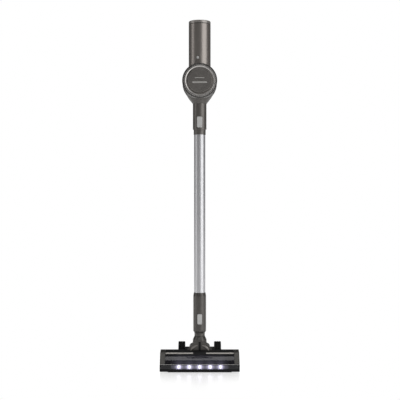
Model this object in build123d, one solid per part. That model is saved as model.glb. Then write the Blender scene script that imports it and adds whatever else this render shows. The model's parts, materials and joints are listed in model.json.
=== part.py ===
from build123d import *
import math
import os

# Cordless stick vacuum, standing upright on its floor head. Millimetres, +Z up, the front faces -Y.
# Everything is modelled about the wand's axis (x = 0, y = 0, floor at z = 0). save() then moves it so
# that the origin lies under the middle of the whole object's box.
WAND_Y = -12.5

# Driving dimensions: fits
RUN_GAP = 0.05        # radial gap of a pin or shaft that turns in its bore
PLUG_GAP = 0.1        # radial gap of a spigot in its socket
PART_GAP = 0.3        # gap between faces of pieces that move apart

# Driving dimensions: floor head
HEAD_HALF = 125.0
CAP_IN = 108.7        # inner face of the end caps
HEAD_FRONT = -80.0
HEAD_REAR = 22.0
BAND_BACK = -70.8
BAND_TOP = 26.5
SKIN = 2.4
ROLLER_Y = -46.0
ROLLER_Z = 23.0
ROLLER_R = 21.0
CORE_R = 13.0
PIVOT_Z = 46.0
BARREL_R = 18.0
ARM_IN = 39.6
ARM_OUT = 46.8
WHEEL_IN = 47.6
WHEEL_OUT = 69.6
WHEEL_R = 36.7
WHEEL_Y = 68.3
LED_PITCH = 32.5
LED_Z = 18.7
SOLE_TOP = 5.0
SOLE_BOTTOM = 2.2
MOUTH_HALF = 103.0
MOUTH = (-67.0, -25.0)
COVER_HALF = CAP_IN - PART_GAP
BAND_HALF = 122.0
PIN_R = 3.0
MOTOR_Y = 6.5
MOTOR_Z = 22.0
BELT = (101.0, 106.0)
PULLEY_R = 4.5
ROLLER_PULLEY_R = 9.0
TILT_PIN_R = 4.0

# Driving dimensions: neck and wand
YOKE_TOP = 103.0
YOKE_SHOULDER = 33.0
NECK_BOTTOM = 104.0
NECK_SEAM = 205.0
NECK_TOP = 242.0
NECK_R = 20.7
TUBE_R = 18.0
TUBE_WALL = 1.4
SPIGOT_R = 15.0
SPIGOT_BORE = 13.4
SPIGOT_FOOT = 168.0
SPIGOT_HEAD = 815.0
SWIVEL_R = 14.5
LOWER_BUTTON = (142.3, 174.8)
LOWER_BUTTON_HALF = 7.3

# Driving dimensions: hand unit
HAND_BOTTOM = 748.0
COLLAR_TOP = 764.0
SOCKET_R = 21.8
CONE_BOTTOM = 847.0
DISC_Z = 913.5
DISC_R = 55.0
RING_R = 46.2
FACE_R = 39.0
DISC_FRONT = -70.0
RIM_FRONT = -64.0
HOUSING_FRONT = -50.0
HOUSING_REAR = 36.0
CUP_R = 35.0
CUP_WALL = 2.2
CUP_FLOOR = 984.0
CUP_TOP = 1099.5
LID_BOTTOM = 1101.5
LID_TOP = 1110.5
SADDLE_R = 57.2
GRIP_HALF = 16.5
GRIP_REAR = 105.0
GRIP_TOP = 1088.0
GRIP_BOTTOM = 950.0
UPPER_BUTTON = (770.0, 804.5)
UPPER_BUTTON_HALF = 8.5
DUCT_R = 10.0
DUCT_Y = 20.0
PORT_TOP = 982.0
CLEAN_Y = -8.0
CLEAN_R = 12.0
EMBLEM = [(0.0, 921.0, 15.5, 1.1), (0.0, 907.0, 23.0, 2.4)]
HINGE_Y = 38.6
HINGE_Z = 1104.0
KNUCKLE_R = 3.4
HINGE_PIN_R = 1.5
CUP_BUTTON = (-6.0, 990.5)
CUP_BUTTON_R = 4.2

# Driving dimensions: handle and battery
BATTERY_X = 34.5
BATTERY_Y = (45.0, 95.0)
BATTERY_Z = (882.0, 949.0)
TRIGGER_Z = (1030.0, 1054.0)
GAP_FRONT = 51.0
GAP_REAR = 81.0
GAP_Z = (968.0, 1066.0)
MODE_R = 6.0
MODE_Y = 68.0
SOCKET_BORE = 2.75
SOCKET_DEPTH = 9.0
SOCKET_Z = 888.5

os.makedirs("parts", exist_ok=True)


# ---------------------------------------------------------------- helpers

def block(xs, ys, zs):
    """A box between two corners, each side given as (low, high)."""
    sides = [high - low for low, high in (xs, ys, zs)]
    middle = [(high + low) / 2 for low, high in (xs, ys, zs)]
    return Pos(*middle) * Box(*sides)


def rod_x(radius, xs, y, z):
    return Pos((xs[0] + xs[1]) / 2, y, z) * Rot(0, 90, 0) * Cylinder(radius, xs[1] - xs[0])


def rod_y(radius, ys, x, z):
    return Pos(x, (ys[0] + ys[1]) / 2, z) * Rot(90, 0, 0) * Cylinder(radius, ys[1] - ys[0])


def rod_z(radius, zs, x=0.0, y=0.0):
    return Pos(x, y, (zs[0] + zs[1]) / 2) * Cylinder(radius, zs[1] - zs[0])


def outline(points):
    return make_face(Polyline(*points, close=True))


def across(face, xs):
    """A (y, z) outline carried from one x to another."""
    return extrude(Plane.YZ.offset(xs[0]) * face, xs[1] - xs[0])


def along(face, ys):
    """An (x, z) outline carried from one y to another."""
    return extrude(Plane.XZ.offset(-ys[1]) * face, ys[1] - ys[0])


def turned(points):
    """An (r, z) outline turned about the wand's axis."""
    return revolve(Plane.XZ * outline(points), Axis.Z, 360)


def rounded(shape, edges, radius):
    """The shape with these edges rounded, or chamfered a little where a round won't close."""
    try:
        return fillet(edges, radius)
    except Exception:
        return chamfer(edges, radius / 2)


def pair(shape):
    """A right-hand shape and its left-hand mirror image."""
    return shape, mirror(shape, about=Plane.YZ)


def save(name, *shapes):
    solids = [solid for shape in shapes for solid in shape.solids()]
    export_step(Pos(0, WAND_Y, 0) * Compound(solids), f"parts/{name}.step")


def save_pair(name, shape):
    right, left = pair(shape)
    save(f"{name}_right", right)
    save(f"{name}_left", left)


# ---------------------------------------------------------------- floor head: casing

# Side outline of the head, (y, z), from the front band up over the window and down the back.
HEAD_LINE = [
    (BAND_BACK, 3.0), (BAND_BACK, BAND_TOP), (-77.0, 27.0), (-52.0, 50.0),
    (-44.0, 57.0), (-10.0, 61.0), (20.0, 45.0), (HEAD_REAR, 3.0),
]


def head_casing():
    # The cover is a bent sheet: trim seat, top, slope and back, open where the neck stands.
    sheet = outline([
        (-50.4, 51.4), (-44.0, 57.0), (-10.0, 61.0), (20.0, 45.0), (HEAD_REAR, 6.0),
        (HEAD_REAR - SKIN, 6.0), (20.0 - SKIN, 43.6), (-10.6, 58.4), (-43.0, 54.6), (-48.8, 49.5),
    ])
    cover = across(sheet, (-COVER_HALF, COVER_HALF))
    neck_gap = block((-ARM_OUT - PART_GAP, ARM_OUT + PART_GAP), (-23.0, 30.0), (0.0, 70.0))
    cover -= neck_gap
    trim_line = outline([(-50.4, 51.4), (-44.0, 57.0), (-43.2, 56.0), (-49.6, 50.4)])
    trim_in, trim_out = 20.5, 107.2
    trims = pair(across(trim_line, (trim_in, trim_out)))
    for trim in trims:
        cover -= trim
    save("head_cover", cover)
    save("trim_strips", *trims)

    # The smoked window is a gently bowed panel in front of the roller.
    outer = ThreePointArc((-77.0, 27.6), (-66.4, 40.4), (-51.0, 50.9))
    inner = ThreePointArc((-49.6, 49.0), (-64.8, 38.8), (-75.0, 26.9))
    sides = Polyline((-51.0, 50.9), (-49.6, 49.0)), Polyline((-75.0, 26.9), (-77.0, 27.6))
    save("roller_window", across(make_face([outer, sides[0], inner, sides[1]]), (-COVER_HALF, COVER_HALF)))

    # End caps: the head's own outline, hollow from the inside, with a boss for the roller's bearing.
    cap = across(outline(HEAD_LINE), (CAP_IN, HEAD_HALF))
    cap = rounded(cap, cap.faces().sort_by(Axis.X)[-1].edges(), 2.0)
    depth = HEAD_HALF - CAP_IN - 3.0
    pocket = offset(outline(HEAD_LINE), -SKIN)
    cap -= across(pocket, (CAP_IN - 1.0, CAP_IN + depth))
    boss_r = 9.0
    bearing_r = 6.0
    cap += rod_x(boss_r, (CAP_IN, CAP_IN + depth + 1.0), ROLLER_Y, ROLLER_Z)
    cap -= rod_x(bearing_r, (CAP_IN - 1.0, CAP_IN + 6.0), ROLLER_Y, ROLLER_Z)
    save("end_caps", *pair(cap))
    bearing = rod_x(bearing_r, (CAP_IN, CAP_IN + 5.0), ROLLER_Y, ROLLER_Z)
    bearing -= rod_x(PIN_R + RUN_GAP, (CAP_IN - 1.0, CAP_IN + 6.0), ROLLER_Y, ROLLER_Z)
    save("roller_bearings", *pair(bearing))


def head_front():
    # Full-width band under the window: a channel that holds the lamps behind their lens.
    lamp_half = 82.0
    band = across(outline([
        (BAND_BACK, 3.0), (-77.0, 3.0), (-78.4, 6.0), (HEAD_FRONT, 13.0), (HEAD_FRONT, 22.0),
        (-78.6, BAND_TOP), (BAND_BACK, BAND_TOP),
    ]), (-HEAD_HALF, HEAD_HALF))
    ends = band.faces().sort_by(Axis.X)
    band = rounded(band, ends[0].edges() + ends[-1].edges(), 1.5)
    band -= block((-BAND_HALF, BAND_HALF), (HEAD_FRONT - 1.0, -78.2), (11.6, 25.0))
    band -= block((-lamp_half, lamp_half), (-79.0, -73.0), (13.2, 24.2))
    save("front_band", band)
    lens = block((-BAND_HALF, BAND_HALF), (HEAD_FRONT, -78.2), (11.6, 25.0))
    lens = rounded(lens, lens.faces().sort_by(Axis.Y)[0].edges(), 0.6)
    save("lamp_lens", lens)
    lamps = []
    for step in range(-2, 3):
        seat = rod_y(3.2, (-76.0, -73.0), step * LED_PITCH, LED_Z)
        dome = Pos(step * LED_PITCH, -76.0, LED_Z) * Sphere(2.2)
        lamps.append(seat + dome)
    save("lamps", *lamps)


def head_underside():
    sole_length = (BAND_BACK + 0.1, HEAD_REAR - SKIN - 0.3)
    sole = block((-COVER_HALF, COVER_HALF), sole_length, (SOLE_BOTTOM, SOLE_TOP))
    sole -= block((-MOUTH_HALF, MOUTH_HALF), MOUTH, (0.0, 10.0))
    screw_spots = [(x, y) for x in (-97.0, -56.0, 56.0, 97.0) for y in (12.0,)]
    screw_spots += [(-20.0, -12.0), (20.0, -12.0)]
    screws = []
    for x, y in screw_spots:
        shank = rod_z(1.5, (SOLE_TOP - 1.5, SOLE_TOP + 4.0), x, y)
        head = rod_z(3.2, (SOLE_BOTTOM + 0.3, SOLE_TOP - 1.3), x, y)
        head -= block((x - 2.2, x + 2.2), (y - 0.5, y + 0.5), (SOLE_BOTTOM, SOLE_BOTTOM + 1.0))
        head -= block((x - 0.5, x + 0.5), (y - 2.2, y + 2.2), (SOLE_BOTTOM, SOLE_BOTTOM + 1.0))
        screws.append(head + shank)
        sole -= rod_z(3.3, (SOLE_BOTTOM - 1.0, SOLE_TOP - 1.2), x, y)
        sole -= rod_z(1.6, (SOLE_TOP - 2.0, SOLE_TOP + 1.0), x, y)
    save("head_screws", *screws)

    # Felt lips before and behind the mouth carry the front of the head on the floor.
    felt_half = 100.0
    felts = [
        block((-felt_half, felt_half), (-70.0, -67.6), (0.0, 4.0)),
        block((-felt_half, felt_half), (-23.6, -19.6), (0.0, 4.0)),
    ]
    for felt in felts:
        sole -= felt
    save("felt_lips", *felts)
    save("sole_plate", sole)


def belt_loop(thickness):
    """The (y, z) hull of the two pulleys, grown by a thickness."""
    span = math.hypot(MOTOR_Y - ROLLER_Y, MOTOR_Z - ROLLER_Z)
    turn = math.degrees(math.atan2(MOTOR_Z - ROLLER_Z, MOTOR_Y - ROLLER_Y))
    lean = math.acos((ROLLER_PULLEY_R - PULLEY_R) / span)
    big, small = ROLLER_PULLEY_R + thickness, PULLEY_R + thickness
    ends = [
        (big * math.cos(lean), big * math.sin(lean)), (span + small * math.cos(lean), small * math.sin(lean)),
        (span + small * math.cos(lean), -small * math.sin(lean)),
        (big * math.cos(lean), -big * math.sin(lean)),
    ]
    hull = Circle(big) + Pos(span, 0) * Circle(small) + outline(ends)
    return Pos(ROLLER_Y, ROLLER_Z) * Rot(0, 0, turn) * hull


def head_drive():
    # Frame: back wall of the roller chamber, half-round cradle for the tilt barrel, motor seat.
    wall_front, wall_back = -23.6, -21.4
    wall = block((-COVER_HALF, COVER_HALF), (wall_front, wall_back), (SOLE_TOP, 55.4))
    cradle = rod_x(BARREL_R + 3.0, (-ARM_IN, ARM_IN), 0.0, PIVOT_Z)
    cradle -= rod_x(BARREL_R + 0.5, (-ARM_IN - 1, ARM_IN + 1), 0.0, PIVOT_Z)
    cradle -= block((-ARM_IN - 1, ARM_IN + 1), (-30.0, 30.0), (PIVOT_Z + 1.0, 80.0))
    cradle -= block((-ARM_IN - 1, ARM_IN + 1), (2.0, 30.0), (0.0, 80.0))
    frame = wall + cradle
    frame += block((-ARM_IN, ARM_IN), (wall_back - 0.2, -17.0), (SOLE_TOP, 36.0))
    frame -= rod_x(BARREL_R + 0.5, (-ARM_IN - 1, ARM_IN + 1), 0.0, PIVOT_Z)
    duct_half = 15.0
    frame -= block((-duct_half, duct_half), (-30.0, -6.0), (14.0, 44.0))
    seat = block((58.0, 92.0), (wall_back - 0.2, MOTOR_Y + 9.0), (SOLE_TOP, MOTOR_Z))
    frame += seat - rod_x(11.0, (50.0, 100.0), MOTOR_Y, MOTOR_Z)
    frame -= across(belt_loop(2.5), (BELT[0] - 1.0, COVER_HALF + 1.0))
    save("head_frame", frame)

    motor = rod_x(11.0, (54.0, 96.0), MOTOR_Y, MOTOR_Z)
    motor = rounded(motor, motor.edges().filter_by(GeomType.CIRCLE), 1.5)
    motor += rod_x(5.0, (96.0, 98.0), MOTOR_Y, MOTOR_Z)
    motor -= rod_x(1.5 + RUN_GAP, (60.0, 99.0), MOTOR_Y, MOTOR_Z)
    save("brush_motor", motor)
    pulley = rod_x(PULLEY_R, (99.0, 107.0), MOTOR_Y, MOTOR_Z) + rod_x(1.5, (62.0, 99.0), MOTOR_Y, MOTOR_Z)
    save("motor_pulley", pulley)
    belt = across(belt_loop(1.6) - belt_loop(0.3), BELT)
    save("drive_belt", belt)

    core = rod_x(CORE_R, (-97.0, 97.0), ROLLER_Y, ROLLER_Z)
    core += rod_x(CORE_R - 2.0, (-99.5, 99.5), ROLLER_Y, ROLLER_Z)
    core += rod_x(ROLLER_PULLEY_R, (99.0, 106.8), ROLLER_Y, ROLLER_Z)
    core += rod_x(PIN_R, (-113.0, 113.0), ROLLER_Y, ROLLER_Z)
    save("roller_core", core)
    brush = rod_x(ROLLER_R, (-96.0, 96.0), ROLLER_Y, ROLLER_Z)
    brush -= rod_x(CORE_R, (-97.0, 97.0), ROLLER_Y, ROLLER_Z)
    save("roller_brush", brush)


# ---------------------------------------------------------------- floor head: big wheels

def rear_wheels():
    side = outline([
        (-20.0, SOLE_TOP + 0.2), (-20.0, 52.0), (-14.0, 57.0), (12.0, 59.5), (62.0, 57.5),
        (80.0, 46.0), (82.0, 34.0),
        (74.0, 24.0), (40.0, 16.0), (18.0, SOLE_TOP + 0.2),
    ])
    arm = across(side, (ARM_IN, ARM_OUT))
    arm = rounded(arm, arm.faces().sort_by(Axis.X)[-1].edges(), 0.8)
    # Behind the barrel each arm thickens inward, up to the shoulders of the yoke.
    arm += across(side, (YOKE_SHOULDER + 0.6, ARM_IN + 1.0)) & block((0.0, 60.0), (25.0, 62.0), (36.0, 60.0))
    arm -= rod_x(TILT_PIN_R, (ARM_IN - 1, ARM_OUT - 2.0), 0.0, PIVOT_Z)
    arm -= rod_x(TILT_PIN_R, (ARM_IN - 1, ARM_OUT + 1), WHEEL_Y, WHEEL_R)
    save("wheel_arms", *pair(arm))
    tilt_pin = rod_x(TILT_PIN_R, (31.0, ARM_OUT - 2.0), 0.0, PIVOT_Z)
    wheel_pin = rod_x(TILT_PIN_R, (ARM_IN, WHEEL_OUT - 1.2), WHEEL_Y, WHEEL_R)
    save("pivot_pins", *pair(tilt_pin), *pair(wheel_pin))

    tread = 5.0
    rim_r = WHEEL_R - tread
    tyre = rod_x(WHEEL_R, (WHEEL_IN, WHEEL_OUT), WHEEL_Y, WHEEL_R)
    tyre = rounded(tyre, tyre.edges().filter_by(GeomType.CIRCLE), 1.6)
    tyre -= rod_x(rim_r, (WHEEL_IN - 1, WHEEL_OUT + 1), WHEEL_Y, WHEEL_R)
    save_pair("wheel_tyre", tyre)
    hub = rod_x(rim_r, (WHEEL_IN + 0.6, WHEEL_OUT - 0.6), WHEEL_Y, WHEEL_R)
    hub -= rod_x(rim_r - 4.0, (WHEEL_OUT - 4.0, WHEEL_OUT + 1), WHEEL_Y, WHEEL_R)
    hub += rod_x(9.0, (WHEEL_OUT - 5.0, WHEEL_OUT - 0.6), WHEEL_Y, WHEEL_R)
    hub -= rod_x(TILT_PIN_R + RUN_GAP, (WHEEL_IN - 1, WHEEL_OUT - 1.1), WHEEL_Y, WHEEL_R)
    save_pair("wheel_hub", hub)


# ---------------------------------------------------------------- neck: tilt yoke

def tilt_yoke():
    # Front view: round-shouldered; side view: a barrel on the pivot that narrows into the neck.
    half = ARM_IN - PART_GAP
    shoulder = YOKE_SHOULDER
    front = make_face([
        Polyline((-half, PIVOT_Z - BARREL_R), (-half, 60.0), (-shoulder, 62.0), (-shoulder, 68.0)),
        ThreePointArc((-shoulder, 68.0), (-30.6, 73.4), (-25.0, 77.0)),
        Polyline((-25.0, 77.0), (-22.0, 79.0), (-22.0, 92.0), (-17.0, YOKE_TOP), (17.0, YOKE_TOP),
                 (22.0, 92.0), (22.0, 79.0), (25.0, 77.0)),
        ThreePointArc((25.0, 77.0), (30.6, 73.4), (shoulder, 68.0)),
        Polyline((shoulder, 68.0), (shoulder, 62.0), (half, 60.0), (half, PIVOT_Z - BARREL_R),
                 (-half, PIVOT_Z - BARREL_R)),
    ])
    side = Pos(0, PIVOT_Z) * Circle(BARREL_R)
    side += outline([(-BARREL_R, PIVOT_Z), (BARREL_R, PIVOT_Z), (BARREL_R, 90.0), (17.0, YOKE_TOP),
                     (-17.0, YOKE_TOP), (-BARREL_R, 90.0)])
    body = along(front, (-30.0, 30.0)) & across(side, (-50.0, 50.0))
    round_top = turned([(0.0, 88.0), (21.8, 88.0), (21.8, 92.0), (16.7, YOKE_TOP), (0.0, YOKE_TOP)])
    body -= block((-60.0, 60.0), (-60.0, 60.0), (88.0, YOKE_TOP + 1))
    body += round_top
    body -= rod_z(SWIVEL_R, (PIVOT_Z, YOKE_TOP + 1))
    body -= rod_x(SWIVEL_R - 1.0, (-29.0, 29.0), 0.0, PIVOT_Z)
    body -= block((-14.0, 14.0), (-BARREL_R - 1, 0.0), (PIVOT_Z - BARREL_R - 1, PIVOT_Z + 2.0))
    body -= rod_x(TILT_PIN_R + RUN_GAP, (28.0, half + 1), 0.0, PIVOT_Z)
    body -= rod_x(TILT_PIN_R + RUN_GAP, (-half - 1, -28.0), 0.0, PIVOT_Z)
    # A narrow upright slot in front marks the parting of the two yoke halves.
    body -= block((-6.5, 6.5), (-BARREL_R - 6, -BARREL_R + 1.2), (56.0, 100.0))
    save("tilt_yoke", body)


# ---------------------------------------------------------------- neck: socket for the wand

def button_pocket(front, zs, half):
    """The recess in a socket's front wall where a release button travels."""
    floor = -SPIGOT_R - 1.1
    low, high = zs[0] - PART_GAP, zs[1] + PART_GAP
    return block((-half - PART_GAP, half + PART_GAP), (-front - 3.0, floor), (low, high))


def release_button(front, zs, half):
    plate = block((-half, half), (-front - 0.5, -front + 2.2), zs)
    plate = rounded(plate, plate.edges().filter_by(Axis.Y), half * 0.45)
    face = plate.faces().sort_by(Axis.Y)[0]
    plate = rounded(plate, face.edges(), 0.6)
    for step in range(3):
        z = zs[0] + 5.0 + step * 2.6
        plate -= block((-half + 3.0, half - 3.0), (-front - 1.0, -front - 0.1), (z, z + 1.0))
    # A leaf spring is moulded on behind, clear of the pocket's floor when the button is pressed.
    back = -front + 2.2
    plate += block((-2.5, 2.5), (back, back + 0.6), (zs[0] + 8.0, zs[1] - 8.0))
    return plate


def lower_neck():
    bore = SPIGOT_R + PLUG_GAP
    inner = SWIVEL_R - 2.5
    shell = turned([
        (inner, 90.0), (SWIVEL_R - RUN_GAP, 90.0), (SWIVEL_R - RUN_GAP, NECK_BOTTOM), (16.7, NECK_BOTTOM),
        (16.7, 112.0), (18.4, 116.0), (NECK_R, 119.5), (NECK_R, NECK_SEAM - 0.6),
        (NECK_R - 0.8, NECK_SEAM - 0.6),
        (NECK_R - 0.8, NECK_SEAM + 0.6), (NECK_R, NECK_SEAM + 0.6), (NECK_R, 231.0), (18.7, NECK_TOP),
        (bore, NECK_TOP), (bore, SPIGOT_FOOT - 1.0), (inner, SPIGOT_FOOT - 3.0),
    ])
    shell -= button_pocket(NECK_R, LOWER_BUTTON, LOWER_BUTTON_HALF)
    save("neck_shell", shell)
    save("lower_button", release_button(NECK_R, LOWER_BUTTON, LOWER_BUTTON_HALF))


# ---------------------------------------------------------------- wand

def wand():
    inside = TUBE_R - TUBE_WALL
    low, high = NECK_TOP + PART_GAP, HAND_BOTTOM - PART_GAP
    save("wand_tube", rod_z(TUBE_R, (low, high)) - rod_z(inside, (low - 1, high + 1)))
    plug = 22.0
    contact = 9.0
    pads = {
        "top": (SPIGOT_HEAD - 3.0 - contact, SPIGOT_HEAD - 3.0),
        "bottom": (SPIGOT_FOOT + 3.0, SPIGOT_FOOT + 3.0 + contact),
    }
    spigots = {
        "top": [(SPIGOT_BORE, high - plug), (inside, high - plug), (inside, high), (SPIGOT_R, high),
                (SPIGOT_R, SPIGOT_HEAD - 1.5), (SPIGOT_R - 1.2, SPIGOT_HEAD), (SPIGOT_BORE, SPIGOT_HEAD)],
        "bottom": [(SPIGOT_BORE, SPIGOT_FOOT), (SPIGOT_R - 1.2, SPIGOT_FOOT), (SPIGOT_R, SPIGOT_FOOT + 1.5),
                   (SPIGOT_R, low), (inside, low), (inside, low + plug), (SPIGOT_BORE, low + plug)],
    }
    contacts, ends = [], []
    for end, points in spigots.items():
        spigot = turned(points)
        for x in (-5.0, 5.0):
            slot = block((x - 1.4, x + 1.4), (8.0, 20.0), pads[end])
            contacts.append(slot & (rod_z(SPIGOT_R - 0.1, pads[end]) - rod_z(SPIGOT_R - 0.9, pads[end])))
            spigot -= slot & (rod_z(SPIGOT_R + 1, pads[end]) - rod_z(SPIGOT_R - 0.9, pads[end]))
        ends.append(spigot)
    save("wand_ends", *ends)
    wires = [rod_z(1.3, (low + plug, high - plug), x, inside - 2.2) for x in (-3.0, 3.0)]
    save("wand_wiring", *contacts, *wires)


# ---------------------------------------------------------------- hand unit: inlet and housing

def inlet_socket():
    bore = SPIGOT_R + PLUG_GAP
    shell = turned([
        (bore, HAND_BOTTOM), (19.2, HAND_BOTTOM), (19.2, COLLAR_TOP), (SOCKET_R - 0.8, COLLAR_TOP),
        (SOCKET_R, COLLAR_TOP + 0.8), (SOCKET_R, CONE_BOTTOM - 0.2), (DUCT_R, CONE_BOTTOM - 0.2),
        (DUCT_R, SPIGOT_HEAD + 6.0), (bore, SPIGOT_HEAD + 1.0),
    ])
    shell -= button_pocket(SOCKET_R, UPPER_BUTTON, UPPER_BUTTON_HALF)
    save("inlet_socket", shell)
    save("upper_button", release_button(SOCKET_R, UPPER_BUTTON, UPPER_BUTTON_HALF))


def duct_line(radius):
    """The dirty-air way: up from the socket, back behind the motor and up to the cup."""
    steps = [(0.0, CONE_BOTTOM), (DUCT_Y, CONE_BOTTOM + 40.0)]
    run = math.hypot(DUCT_Y, 40.0)
    lean = math.degrees(math.atan2(DUCT_Y, 40.0))
    slant = Pos(0, steps[0][0], steps[0][1]) * Rot(-lean, 0, 0) * Pos(0, 0, run / 2) * Cylinder(radius, run)
    elbow = Pos(0, DUCT_Y, steps[1][1]) * Sphere(radius)
    return slant + elbow + rod_z(radius, (steps[1][1], PORT_TOP), 0.0, DUCT_Y)


def motor_housing():
    flare = [(22.4, CONE_BOTTOM), (36.5, 865.5), (51.0, 890.0), (54.6, 903.0)]
    cone = turned([(0.0, CONE_BOTTOM), *flare, (0.0, 903.0)])
    cone &= block((-60.0, 60.0), (-46.0, HOUSING_REAR), (800.0, 950.0))
    inside = [(radius - 2.6, height + 1.4) for radius, height in flare]
    inner_cone = turned([(0.0, inside[0][1]), *inside, (0.0, inside[-1][1])])
    inner_cone &= block((-60.0, 60.0), (-43.0, HOUSING_REAR - SKIN), (800.0, 950.0))
    drum = rod_y(DISC_R, (HOUSING_FRONT, HOUSING_REAR), 0.0, DISC_Z)
    drum = rounded(drum, drum.edges().filter_by(GeomType.CIRCLE).sort_by(Axis.Y)[-1:], 5.0)
    shell = drum + cone
    shell -= rod_y(DISC_R - SKIN, (HOUSING_FRONT - 1, HOUSING_REAR - SKIN), 0.0, DISC_Z)
    shell -= inner_cone
    # A shadow groove separates the disc's rim from the cone below it.
    groove = rod_y(DISC_R + 1.4, (HOUSING_FRONT, -34.0), 0.0, DISC_Z)
    groove -= rod_y(DISC_R, (-80.0, -30.0), 0.0, DISC_Z)
    shell -= groove
    # Two stub ports on top lead into the dust cup.
    for radius, y in ((DUCT_R, DUCT_Y), (CLEAN_R, CLEAN_Y)):
        port = rod_z(radius + 1.6, (DISC_Z + DISC_R - 8.0, PORT_TOP), 0.0, y)
        shell += port - rod_y(DISC_R - SKIN, (-60.0, 60.0), 0.0, DISC_Z)
        shell -= rod_z(radius, (DISC_Z, PORT_TOP + 1), 0.0, y)
    shell -= rod_z(DUCT_R, (CONE_BOTTOM - 1, CONE_BOTTOM + 3.0)) + duct_line(DUCT_R)
    save("motor_housing", shell)
    bore = duct_line(DUCT_R - 1.5) + rod_z(DUCT_R - 1.5, (CONE_BOTTOM - 3.0, CONE_BOTTOM + 4.0))
    bore += rod_z(DUCT_R - 1.5, (PORT_TOP - 1, PORT_TOP + 1), 0.0, DUCT_Y)
    duct = duct_line(DUCT_R - 0.05) & block((-20.0, 20.0), (-20.0, 40.0), (CONE_BOTTOM, PORT_TOP - 0.1))
    save("dirty_air_duct", duct - bore)

    # The exhaust grille is the sloping rim round the cover, cut by radial slots.
    slope = 6.0
    grille = rod_y(DISC_R, (RIM_FRONT, HOUSING_FRONT - 0.2), 0.0, DISC_Z)
    front_edge = grille.edges().filter_by(GeomType.CIRCLE).sort_by(Axis.Y)[:1]
    grille = chamfer(front_edge, slope, slope * 0.9)
    grille -= rod_y(RING_R + PART_GAP, (RIM_FRONT - 1, HOUSING_FRONT + 1), 0.0, DISC_Z)
    slots = 48
    for step in range(slots):
        slot = block((-0.6, 0.6), (RIM_FRONT - 1.0, HOUSING_FRONT - 5.0), (RING_R + 2.0, DISC_R - 1.6))
        grille -= Pos(0, 0, DISC_Z) * Rot(0, step * 360.0 / slots, 0) * slot
    save("exhaust_grille", grille)


def motor_unit():
    motor_r = 25.0
    front, back = -40.0, -4.0
    can = rod_y(motor_r, (front, back), 0.0, DISC_Z)
    can = rounded(can, can.edges().filter_by(GeomType.CIRCLE), 2.0)
    can -= rod_y(2.5 + RUN_GAP, (front - 1, back + 1), 0.0, DISC_Z)
    save("motor_can", can)
    mounts = []
    for y in (-36.0, -12.0):
        ring = rod_y(motor_r + 4.0, (y, y + 4.0), 0.0, DISC_Z) - rod_y(motor_r, (y - 1, y + 5.0), 0.0, DISC_Z)
        mounts.append(ring)
    save("motor_mounts", *mounts)
    carrier = rod_y(motor_r + 6.0, (front, back), 0.0, DISC_Z)
    carrier += rod_y(44.0, (back, back + 2.0), 0.0, DISC_Z)
    carrier -= rod_y(motor_r + 4.0, (front - 1, back), 0.0, DISC_Z)
    carrier -= rod_y(13.0, (back - 1, back + 3.0), 0.0, DISC_Z)
    save("motor_carrier", carrier)
    wheel = rod_y(6.0, (0.0, 7.4), 0.0, DISC_Z) + rod_y(18.0, (6.2, 7.4), 0.0, DISC_Z)
    blades = 9
    for step in range(blades):
        blade = block((3.0, 17.5), (0.5, 6.8), (-0.6, 0.6))
        wheel += Pos(0, 0, DISC_Z) * Rot(0, step * 360.0 / blades, 0) * blade
    wheel += rod_y(2.5, (front - 3.0, 0.5), 0.0, DISC_Z)
    save("impeller", wheel)


def front_cover():
    face = rod_y(FACE_R, (DISC_FRONT, RIM_FRONT + 2.0), 0.0, DISC_Z)
    face = rounded(face, face.edges().filter_by(GeomType.CIRCLE).sort_by(Axis.Y)[:1], 1.6)
    for x, z, half, tall in EMBLEM:
        face -= emblem_bar(x, z, half, tall)
    face += rod_y(44.5, (RIM_FRONT + 2.0, RIM_FRONT + 4.0), 0.0, DISC_Z)
    face -= rod_y(30.0, (RIM_FRONT + 2.0, RIM_FRONT + 5.0), 0.0, DISC_Z)
    save("front_cover", face)
    save("emblem_bars", *[emblem_bar(*bar) for bar in EMBLEM])
    ring = rod_y(RING_R, (RIM_FRONT - 2.5, RIM_FRONT + 0.5), 0.0, DISC_Z)
    ring = rounded(ring, ring.edges().filter_by(GeomType.CIRCLE).sort_by(Axis.Y)[:1], 1.2)
    ring += rod_y(RING_R - 1.0, (RIM_FRONT + 0.5, RIM_FRONT + 2.0), 0.0, DISC_Z)
    ring -= rod_y(FACE_R, (RIM_FRONT - 5.0, RIM_FRONT + 2.5), 0.0, DISC_Z)
    save("accent_ring", ring)
    filter_ring = rod_y(44.5, (RIM_FRONT + 4.0, -43.0), 0.0, DISC_Z)
    filter_ring -= rod_y(33.0, (-70.0, -40.0), 0.0, DISC_Z)
    save("exhaust_filter", filter_ring)


def emblem_bar(x, z, half, tall):
    bar = block((x - half, x + half), (DISC_FRONT, DISC_FRONT + 1.0), (z - tall, z + tall))
    return rounded(bar, bar.edges().filter_by(Axis.Y), tall * 0.9)


# ---------------------------------------------------------------- hand unit: dust cup

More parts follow.
